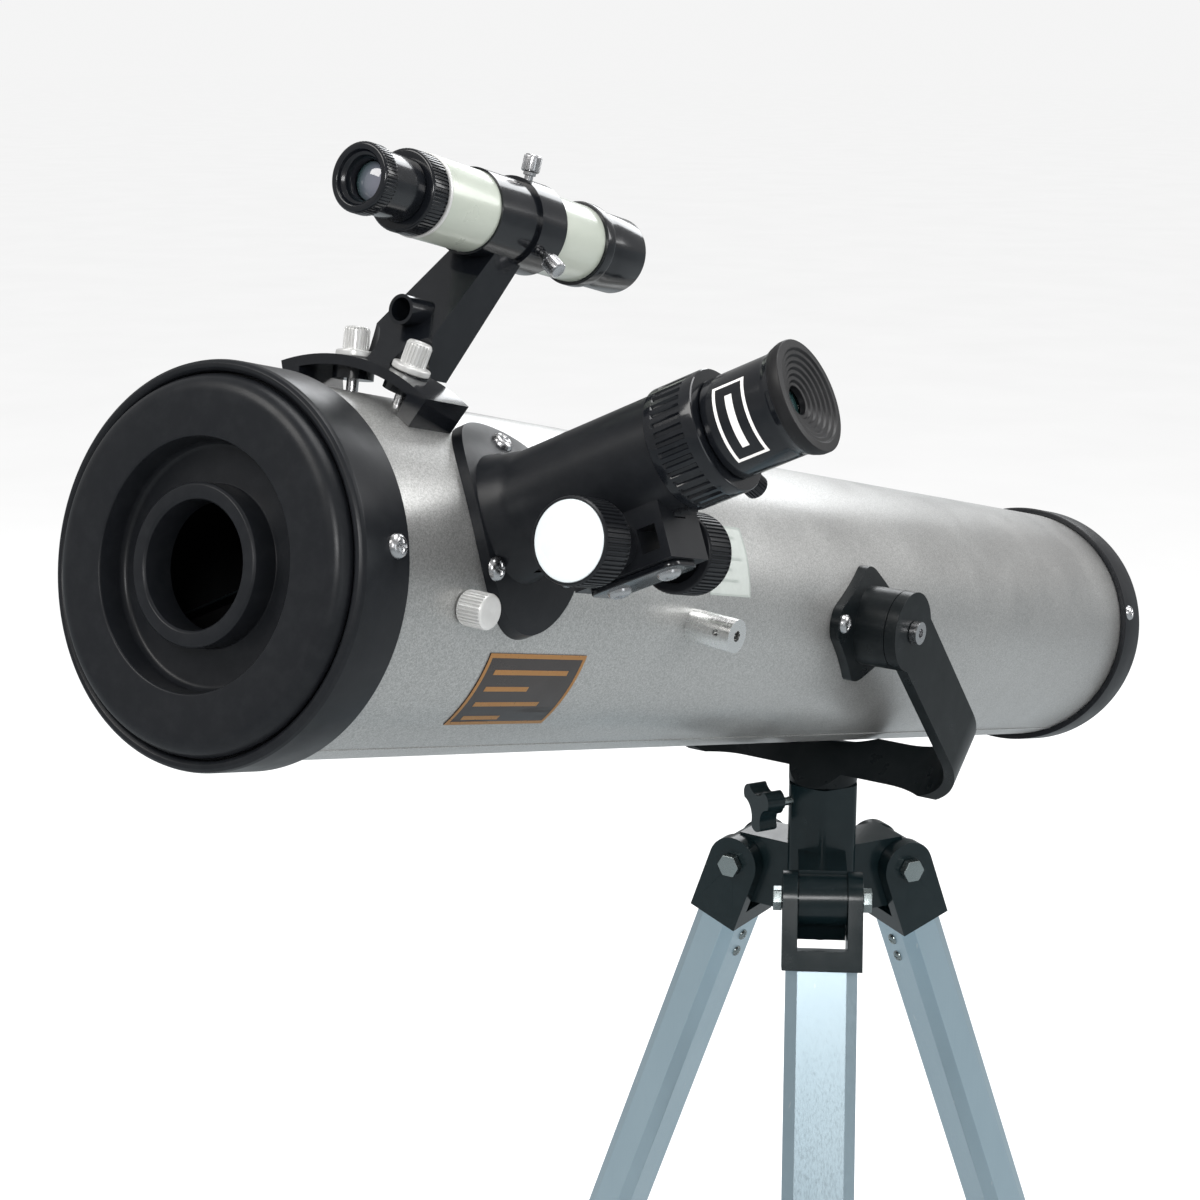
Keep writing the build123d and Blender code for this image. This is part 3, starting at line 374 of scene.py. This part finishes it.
# A grip is (count, depth, low, high): grooves of that depth round the outer wall from low to high.
GROOVE = ((0.0, 0.0), (0.4, 0.0), (0.52, 1.0), (0.88, 1.0))    # (part of a pitch, share of the depth)
WALL = 0.3                                                      # the outer wall's points lie within this


def lathe(name, outline, where, body, slot, finish=None, soft=0.35, steps=128, grips=None):
    """Turned piece about the place's z, with an outline of (radius, height) points."""
    closed = outline[0][0] > 0 or outline[-1][0] > 0
    outline = softened(outline, soft, closed)
    turns, low, high, outer = [(2 * pi * k / steps, 0.0) for k in range(steps)], 0.0, 0.0, 0.0
    if grips:
        count, depth, low, high = grips
        turns = [(2 * pi * (k + part) / count, wave * depth) for k in range(count) for part, wave in GROOVE]
        outer = max(r for r, z in outline if low <= z <= high)
    points = []
    for angle, groove in turns:
        for r, z in outline:
            cut = groove if grips and low <= z <= high and r > outer - WALL else 0.0
            points.append(((r - cut) * cos(angle), (r - cut) * sin(angle), z))
    n, m = len(turns), len(outline)
    last = m if closed else m - 1
    faces = [(i * m + j, i * m + (j + 1) % m, (i + 1) % n * m + (j + 1) % m, (i + 1) % n * m + j)
             for i in range(n) for j in range(last)]
    return finished(name, closed_mesh(name, points, faces), where, body, slot, finish)


def joined(name, pieces):
    """One piece out of several of the same body and slot."""
    first = pieces[0]
    work = bmesh.new()
    for piece in pieces:
        work.from_mesh(piece.data)
    work.to_mesh(first.data)
    work.free()
    for piece in pieces[1:]:
        bpy.data.objects.remove(piece)
    first.name = name
    return first


def wrapped(name, where, radius, lift, u, v, body, slot, finish=None, steps=24):
    """Thin plate on a cylinder about the place's z: u is its angles, v its heights."""
    points, faces = [], []
    for i in range(steps + 1):
        angle = radians(u[0] + (u[1] - u[0]) * i / steps)
        for r in (radius, radius + lift):
            for z in v:
                points.append((r * cos(angle), r * sin(angle), z))
    for i in range(steps):
        a, b = 4 * i, 4 * i + 4
        faces += [(a, b, b + 1, a + 1), (a + 2, a + 3, b + 3, b + 2)]
        faces += [(a, a + 2, b + 2, b), (a + 1, b + 1, b + 3, a + 3)]
    end = 4 * steps
    faces += [(0, 1, 3, 2), (end, end + 2, end + 3, end + 1)]
    return finished(name, closed_mesh(name, points, faces), where, body, slot, finish)


PRINT = 0.06                # thickness of printed lines


def printed_frame(name, where, radius, u, v, line, body, slot, finish):
    """Frame printed on a cylinder between angles u and heights v, its lines as wide as line."""
    turned = degrees(line / radius)
    inner = (v[0] + line, v[1] - line)
    sides = ((u, (v[0], v[0] + line)), (u, (v[1] - line, v[1])),
             ((u[0], u[0] + turned), inner), ((u[1] - turned, u[1]), inner))
    return joined(name, [wrapped(f"{name}_{k}", where, radius, PRINT, *side, body, slot, finish)
                         for k, side in enumerate(sides)])


def rounded(node, width):
    """Small rounded edges on a CAD node, the width in millimetres."""
    piece = nodes[node]
    weld = piece.modifiers.new("weld", "WELD")
    weld.merge_threshold = 2e-6
    bevel = piece.modifiers.new("edges", "BEVEL")
    bevel.width, bevel.segments, bevel.limit_method = width * MM, 2, "ANGLE"
    bevel.angle_limit, bevel.harden_normals, bevel.use_clamp_overlap = radians(28), False, True
    weighted = piece.modifiers.new("normals", "WEIGHTED_NORMAL")
    weighted.keep_sharp = False
    piece.data.polygons.foreach_set("use_smooth", [True] * len(piece.data.polygons))


# ---- camera, floor and light ----
CAMERA_FROM_TRUNNION = (464.8, -786.2, 237.3)
CAMERA_LENS, CAMERA_SENSOR = 65.85, 36.0
VIEW_AZIMUTH, VIEW_DOWN = 34.36, 14.5
camera = bpy.data.objects.new("camera", bpy.data.cameras.new("camera"))
bpy.context.scene.collection.objects.link(camera)
camera.data.lens, camera.data.sensor_width, camera.data.clip_end = CAMERA_LENS, CAMERA_SENSOR, 100
camera.matrix_world = (shift(*TRUNNION) @ shift(*CAMERA_FROM_TRUNNION)
                       @ turn("Z", VIEW_AZIMUTH) @ turn("X", 90 - VIEW_DOWN))
bpy.context.scene.camera = camera

# The floor shows darker in gloss, as a dark room would around the lit paper.
FLOOR_HALF = 40
FLOOR_IN_GLOSS = (0.27, 0.29, 0.30)
floor_mesh = bpy.data.meshes.new("floor")
corners = [(x * FLOOR_HALF, y * FLOOR_HALF, 0) for x, y in ((-1, -1), (1, -1), (1, 1), (-1, 1))]
floor_mesh.from_pydata(corners, [], [(0, 1, 2, 3)])
floor = bpy.data.objects.new("floor", floor_mesh)
bpy.context.scene.collection.objects.link(floor)
pale = Finish("pale_floor", (0.86, 0.86, 0.86), 0.0, 0.9, Specular_IOR_Level=0.0)
paper = pale.between(pale.noise(3, 4), (0.855, 0.855, 0.855), (0.875, 0.875, 0.875))
seen_in_gloss = pale.node("ShaderNodeLightPath").outputs["Is Glossy Ray"]
pale.drive("Base Color", pale.mixed(seen_in_gloss, paper, FLOOR_IN_GLOSS))
pale.bump(pale.noise(40, 3), 0.05, 0.3)
floor_mesh.materials.append(pale.material)

# The sky's strength: soft for diffuse light, lower in gloss, and its own level behind the object.
SOFT_WORLD, GLOSSY_WORLD, BACKDROP = 1.05, 0.36, 0.91
world = bpy.data.worlds.new("studio")
world.use_nodes = True
sky = world.node_tree
ray = sky.nodes.new("ShaderNodeLightPath")
in_gloss, to_camera = sky.nodes.new("ShaderNodeMix"), sky.nodes.new("ShaderNodeMix")
for mix, seen_by, level in ((in_gloss, "Is Glossy Ray", GLOSSY_WORLD), (to_camera, "Is Camera Ray", BACKDROP)):
    sky.links.new(ray.outputs[seen_by], mix.inputs["Factor"])
    mix.inputs[3].default_value = level
in_gloss.inputs[2].default_value = SOFT_WORLD
sky.links.new(in_gloss.outputs[0], to_camera.inputs[2])
sky.links.new(to_camera.outputs[0], sky.nodes["Background"].inputs["Strength"])
sky.nodes["Background"].inputs["Color"].default_value = (1, 1, 1, 1)
bpy.context.scene.world = world
bpy.context.scene.view_settings.view_transform = "Standard"

LIT_POINT = (0, -0.1, 0.78)


def softbox(name, at, width, height, power, color=(1, 1, 1)):
    """Rectangular area light at a point in metres, turned to the middle of the telescope."""
    light = bpy.data.lights.new(name, "AREA")
    light.shape, light.size, light.size_y = "RECTANGLE", width, height
    light.energy, light.color = power, color
    lamp = bpy.data.objects.new(name, light)
    bpy.context.scene.collection.objects.link(lamp)
    lamp.location = at
    lamp.rotation_euler = (Vector(LIT_POINT) - Vector(at)).to_track_quat("-Z", "Y").to_euler()


softbox("key", (-0.7, -1.6, 2.3), 1.2, 0.8, 17, (1, 0.98, 0.95))
softbox("fill", (2.3, -1.0, 1.3), 0.7, 1.5, 4, (0.92, 0.97, 1.0))
softbox("top", (0.2, 0.3, 2.6), 1.6, 0.8, 20)
softbox("front", (1.0, -1.9, 1.75), 0.5, 0.4, 12)
softbox("side", (1.6, 1.4, 1.8), 1.0, 1.3, 18)
softbox("rim", (-0.7, 2.3, 1.9), 1.6, 0.9, 18, (0.96, 0.98, 1.0))

# ---- optical tube ----
TUBE = "optical_tube"
shell = lathe("tube_shell", [(TUBE_R, 4), (TUBE_R, 651), (59.6, 651), (59.6, 4)],
              ALONG_TUBE, TUBE, "tube_paint", soft=0.1, steps=256)
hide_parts("main_tube")
lathe("tube_lining", [(59.59, 4.2), (59.59, 650.8), (TUBE_BORE, 650.8), (TUBE_BORE, 4.2)],
      ALONG_TUBE, TUBE, "tube_paint", "tube_inside", soft=0.1, steps=192)
SEAM_U = (60.4, 61.6)               # degrees round the tube from +X, downwards
wrapped("tube_seam", ALONG_TUBE, TUBE_R - 0.1, 0.4, SEAM_U, (RING_LENGTH, REAR_RING_S), TUBE, "tube_paint",
        steps=3)

front = lathe("ring_front", [
    (RING_R, RING_LENGTH, 0.8), (RING_R, 2.4, 0.2), (62.6, 1.0), (61.6, 0.2), (60.4, 0.2), (59.4, 1.0),
    (59, 2.4), (59, 3.6), (56.2, 3.6), (56.2, 6), (58.96, 6), (58.96, 4), (60.04, 4), (60.04, RING_LENGTH)],
    ALONG_TUBE, TUBE, "black_satin", soft=0.25, steps=256)
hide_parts("front_ring")
rear = lathe("ring_rear", [
    (60.04, REAR_RING_S), (RING_R, REAR_RING_S, 0.8), (RING_R, TUBE_END, 2.2), (52, TUBE_END, 0.5),
    (52, 651.1), (60.04, 651.1)],
    ALONG_TUBE, TUBE, "black_satin", soft=0.4, steps=256)
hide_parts("rear_ring")
cap = lathe("cap", [
    (58.5, 2.0), (58.5, 0.6, 1.2), (56.9, -2.6, 2.0), (54, -4, 2.0), (39, -4, 0.7), (38.4, 4.2, 0.4),
    (37.2, 6, 1.4), (25.2, 6, 0.6), (25.2, -2.9, 0.2), (24.4, -3.7, 0.3), (20.7, -3.7, 0.3),
    (19.9, -2.9, 0.2), (19.9, 8), (40.6, 8), (40.6, -2), (53.6, -2), (53.6, 14), (55.6, 14), (55.6, 2)],
    ALONG_TUBE, "dust_cap", "black_satin", soft=0.3, steps=256)
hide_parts("dust_cap")

# ---- screws with a cross recess, for a head of scale 1, in millimetres ----
HEAD_R, HEAD_HEIGHT = 3.9, 2.1
HEAD_RINGS, HEAD_TURNS = 15, 48
ARM_HALF_WIDTH, ARM_LENGTH, RECESS_DEPTH = 0.5, 2.3, 1.15
SMALL_HEAD = 0.72


def cross_arm(across, along, scale):
    """Depth share of one arm of the recess, 1 in its middle and 0 past its tapered sides."""
    side = 1 - (abs(across) / (ARM_HALF_WIDTH * scale)) ** 4
    end = 1 - (abs(along) / (ARM_LENGTH * scale)) ** 5
    return max(0.0, side) * max(0.0, end)


def screw_heads(name, places, body, slot, scale=1.0):
    """Pan heads, one at each place, domed and with a tapered cross recess."""
    edge, height = HEAD_R * scale, HEAD_HEIGHT * scale
    points, faces = [], []
    for where in places:
        first = len(points)
        for k in range(HEAD_RINGS + 1):
            rho = edge * (k / HEAD_RINGS) ** 0.9
            dome = height * (1 - (rho / edge) ** 3.2) ** 0.55 if k < HEAD_RINGS else 0.0
            for j in range(HEAD_TURNS):
                x, y = rho * cos(2 * pi * j / HEAD_TURNS), rho * sin(2 * pi * j / HEAD_TURNS)
                recess = max(cross_arm(x, y, scale), cross_arm(y, x, scale))
                points.append(where @ (Vector((x, y, dome - RECESS_DEPTH * scale * recess)) * MM) / MM)
        for k in range(HEAD_RINGS):
            for j in range(HEAD_TURNS):
                a, b = first + k * HEAD_TURNS + j, first + k * HEAD_TURNS + (j + 1) % HEAD_TURNS
                faces.append((a, b, b + HEAD_TURNS, a + HEAD_TURNS))
    return finished(name, closed_mesh(name, points, faces), Matrix.Identity(4), body, slot, sharp=50)


ring_screws = [outward(s, psi, RING_R) for s in (16.5, 637.6) for psi in (76.5, 196.5, 316.5)]
plate_screws = [outward(TRUNNION_S + side, psi, 64) for side in (-26, 26) for psi in (90, -90)]
flange_screws = [outward(s, psi, 63.8) for s, psi in ((91, 38), (64.5, 80.5), (103.5, 81))]
cover_screws = [FOCUSER @ shift(0, -35, PINION_RHO + side) @ turn("X", 90) for side in (-9.3, 9.3)]
end_screws = [station(TUBE_END) @ turn("Z", 30 + 120 * k) @ shift(28) for k in range(3)]
heads = screw_heads("screw_heads", ring_screws + plate_screws + flange_screws + cover_screws + end_screws,
                    TUBE, "bright_steel")
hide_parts("pan_head_screws")
for number, azimuth in enumerate(LEG_AZIMUTHS, 1):
    inner_face = [leg_place(azimuth) @ shift(-11, 0, z) @ turn("Y", -90) for z in (-42.5, -52.5)]
    screw_heads(f"leg_screws_{number}", inner_face, f"leg_{number}", "zinc_steel", SMALL_HEAD)

# ---- focuser and eyepiece ----
collar = lathe("collar", [
    (19.7, 125.8, 0.5), (19.7, 128.6, 0.1), (19.7, 129.2, 0.1), (19.7, 138.4, 0.1), (19.7, 139, 0.1),
    (19.7, 143.39, 0.9), (12.3, 143.39, 0.3), (12.3, 116), (14.48, 116), (14.48, 125.8)],
    FOCUSER, "drawtube", "black_gloss", grips=(38, 0.8, 129.1, 138.5))
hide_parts("drawtube_collar")
eye_body = lathe("eyepiece_shell", [
    (12.3, 143.7, 0.2), (EYEPIECE_R, 143.7, 0.8), (EYEPIECE_R, 165.6, 3.0), (17.1, 168.0, 1.5),
    (17.1, 168.4, 0.1), (10, 166.1, 0.2), (10, 151.1), (12.3, 151.1)],
    FOCUSER, "eyepiece", "black_gloss", soft=0.22, steps=160)
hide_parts("eyepiece_body")
ridges = []
for k in range(6):
    r, z = 5.6 + 1.75 * k, 168.2 + 0.72 * k
    ridges += [(r, z), (r + 0.5, z + 0.75), (r + 1.2, z + 0.75)]
lathe("eyepiece_cup", [
    (17.05, 168.0, 0.2), (17.5, 169.2, 0.5), (17.75, 170.2, 0.8), (17.75, 172.4, 0.7), (16.4, 172.4, 0.3),
    *reversed(ridges), (4.5, 168.2, 0.4), (4.5, 166.1, 0.2), (10, 166.1, 0.2)],
    FOCUSER, "eyepiece", "black_gloss", "eye_rubber", soft=0.22, steps=160)

PRINT_U, PRINT_V = (145, 237), (148.5, 159.5)
printed_frame("eyepiece_print", FOCUSER, EYEPIECE_R - 0.01, PRINT_U, PRINT_V, 1.0, "eyepiece", "black_gloss",
              "white_print")
wrapped("eyepiece_rule", FOCUSER, EYEPIECE_R - 0.01, PRINT, (PRINT_U[0] + 16, PRINT_U[1] - 16), (152.8, 155.2),
        "eyepiece", "black_gloss", "white_print")

screw_at = FOCUSER @ shift(0, 0, 135) @ turn("Z", -28) @ turn("Y", 90)
head = lathe("eyepiece_screw_head", [
    (0, 22.5), (3.4, 22.5, 0.2), (4, 23.1, 0.2), (4, 28.9, 0.2), (3.4, 29.5, 0.3), (0, 29.5)],
    screw_at, "eyepiece_screw", "black_gloss", soft=0.2, grips=(22, 0.35, 22.9, 29.1))
lathe("eyepiece_screw_shaft", [(0, 12.6), (0.9, 12.6, 0.1), (1.25, 13.1), (1.25, 22.5), (0, 22.5)], screw_at,
      "eyepiece_screw", "bright_steel", soft=0.1, steps=24)
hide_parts("eyepiece_screw")

for side, name in ((-1, "front"), (1, "rear")):
    at = PINION @ shift(side * KNOB_BACK) @ turn("Y", 90 * side)
    knob = lathe(f"focus_knob_{name}", [
        (2.02, 3), (10, 3), (10, 0, 0.3), (12.9, 0, 0.4), (13.5, 0.8, 0.3), (13.5, 12.8, 0.3),
        (13.0, 14, 0.5), (12.5, 14, 0.2), (12.5, 13), (2.02, 13)],
        at, "pinion", "black_satin", soft=0.15, grips=(54, 0.55, 0.7, 13.0))
    disc = lathe(f"knob_disc_{name}", [
        (0, 13.01), (12.4, 13.01, 0.1), (12.4, 13.7, 0.25), (11.6, 13.95, 0.4), (0, 13.99)],
        at, "pinion", "white_disc", soft=0.2)
    if side < 0:
        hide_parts("focus_knobs")
        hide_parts("knob_discs")

# ---- finder ----
tube = lathe("finder_shell", [(12.6, 62.5), (13.75, 62.5, 0.2), (13.75, 151, 0.2), (12.6, 151)],
             FINDER, TUBE, "finder_paint", soft=0.1)
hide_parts("finder_tube")
lathe("finder_bright_ring", [(12.6, 61.25), (13.9, 61.25, 0.3), (13.9, 62.48, 0.3), (12.6, 62.48)],
      FINDER, TUBE, "silver_plastic", soft=0.1)
front_cell = lathe("finder_front_cell", [
    (9.6, 53, 0.2), (12.9, 53, 0.5), (13.5, 53.8, 0.2), (13.5, 60.6, 0.2),
    (13.1, 61.2, 0.2), (12.58, 61.2), (12.58, 70), (9.6, 70)],
    FINDER, TUBE, "black_gloss", soft=0.2, grips=(64, 0.45, 53.7, 60.7))
lathe("finder_rear_cell", [
    (12.58, 142), (12.58, 151.04), (15, 151.04, 0.4), (15, 156, 0.8), (13.2, 157.6, 0.8),
    (13.75, 162, 1.5), (13.75, 178, 0.7), (12.4, 178, 0.4), (12.4, 165.2), (11, 160), (11, 142)],
    FINDER, TUBE, "black_gloss", soft=0.2)
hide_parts("finder_end_cells")
cup = lathe("finder_eye_cup", [
    (9.5, 72), (9.5, 52.7), (10.3, 52.7, 0.3), (10.3, 38.4, 0.6), (11.25, 37.6, 0.3), (11.25, 32.8, 0.3),
    (10.6, 32, 0.4), (8.8, 32, 0.4), (8.3, 33.6, 0.3), (7.2, 34.2, 0.4), (6.6, 36.2, 0.3), (6.5, 72)],
    FINDER, "finder_eyepiece", "black_gloss", soft=0.2, grips=(60, 0.35, 32.7, 37.8))
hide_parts("finder_eyepiece")
glass = lathe("finder_eye_glass", [(0, 37.0), (2.5, 37.2), (4.6, 37.8), (6.48, 38.8), (6.48, 41), (0, 41)],
              FINDER, "finder_eyepiece", "lens", soft=0.5, steps=64)
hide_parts("finder_eye_lens")
for name, angle in (("top", 0), ("left", 240), ("right", 120)):
    at = finder_station(117) @ turn("Z", angle) @ turn("X", 90)
    piece = lathe(f"finder_thumb_{name}", [
        (0, 13.9), (1.1, 13.9), (1.5, 14.4), (1.5, 17.4), (2.2, 17.4, 0.2), (2.2, 18.5, 0.1),
        (2.8, 18.5, 0.2), (3.2, 19.0, 0.2), (3.2, 23.8, 0.2), (2.6, 24.5, 0.4), (0, 24.5)],
        at, f"finder_screw_{name}", "bright_steel", soft=0.15, grips=(20, 0.3, 18.9, 24.0))
    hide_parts(f"finder_screw_{name}")

# ---- nuts ----
for name, psi in (("left", -3.1), ("right", 16.1)):
    nut = lathe(f"nut_{name}", [
        (2.05, 71.1), (6.0, 71.1, 0.2), (6.4, 71.5, 0.2), (6.4, 73.1, 0.3), (6.0, 73.5, 0.3),
        (4.3, 73.5, 0.3), (4.3, 74.2, 0.1), (4.3, 80.2, 0.2), (3.7, 81.3, 0.5), (2.6, 81.3, 0.3), (2.05, 80.6)],
        outward(63, psi), f"bracket_nut_{name}", "silver_plastic", soft=0.15, grips=(22, 0.45, 74.0, 80.4))
    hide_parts(f"bracket_nut_{name}")
side_nut = lathe("side_nut", [
    (2.05, 60.35), (4.9, 60.35, 0.3), (5.75, 61.4, 0.4), (5.75, 69.4, 0.3), (5.1, 70.35, 0.7), (0.0, 70.3),
    (0.0, 69.0), (2.05, 69.0)],
    outward(55, 92), "side_thumb_nut", "silver_plastic", soft=0.2, grips=(30, 0.5, 61.2, 69.6))
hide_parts("side_thumb_nut")

# ---- azimuth lock screw ----
lock_axis = shift(0, 0, TRUNNION[2] - 110) @ turn("Z", -120) @ turn("Y", 90)
lathe("azimuth_screw", [(0, 15.9), (2.03, 15.9), (2.03, 23.8, 0.2), (0, 23.8)], lock_axis, "azimuth_knob",
      "zinc_steel", soft=0.1, steps=32)

# ---- label and sticker, u in degrees round the tube from +X, downwards ----
LABEL_U, LABEL_S, LABEL_FACE = (16, 44.5), (75, 130), TUBE_R + 0.38
printed_frame("label_border", ALONG_TUBE, LABEL_FACE, LABEL_U, LABEL_S, 1.6, TUBE, "label", "label_print")
rules = []
for k, length in enumerate((42, 24, 36, 20)):
    start = LABEL_U[0] + 5.6 + 6.2 * k
    rules.append(wrapped(f"label_rule_{k}", ALONG_TUBE, LABEL_FACE, PRINT, (start, start + 1.8),
                         (81, 81 + length), TUBE, "label", "label_print"))
joined("label_rules", rules)

STICKER_U, STICKER_S, STICKER_FACE = (-33, -7), (203, 233), TUBE_R + 0.06
wrapped("sticker_plate", ALONG_TUBE, TUBE_R + 0.01, 0.08, STICKER_U, STICKER_S, TUBE, "label", "sticker")
printed_frame("sticker_border", ALONG_TUBE, STICKER_FACE, STICKER_U, STICKER_S, 0.8, TUBE, "label",
              "sticker_print")
marks = []
for k, length in enumerate((18, 14, 20, 12, 16)):
    start = STICKER_U[0] + 4 + 4 * k
    marks.append(wrapped(f"sticker_rule_{k}", ALONG_TUBE, STICKER_FACE, PRINT, (start, start + 1),
                         (208, 208 + length), TUBE, "label", "sticker_print"))
joined("sticker_rules", marks)

# ---- soft edges on the CAD nodes that show, in millimetres ----
for node, width in {
    "focuser_housing": 0.5, "pinion_cover": 0.4, "finder_bracket": 0.5, "trunnion_plates": 0.5,
    "trunnion_bolts": 0.25, "rod_post": 0.3, "yoke": 0.6, "tripod_head": 0.7, "leg_hinge_bolts": 0.4,
    "azimuth_knob": 0.6, "spreader_hub": 0.4,
}.items():
    rounded(node, width)
for number in (1, 2, 3):
    for node, width in (("leg_fittings", 0.6), ("leg_upper", 0.25), ("leg_lower", 0.25), ("leg_foot", 1.0),
                        ("leg_knob", 0.5), ("brace", 0.3)):
        rounded(f"{node}_{number}", width)

bpy.context.view_layer.update()
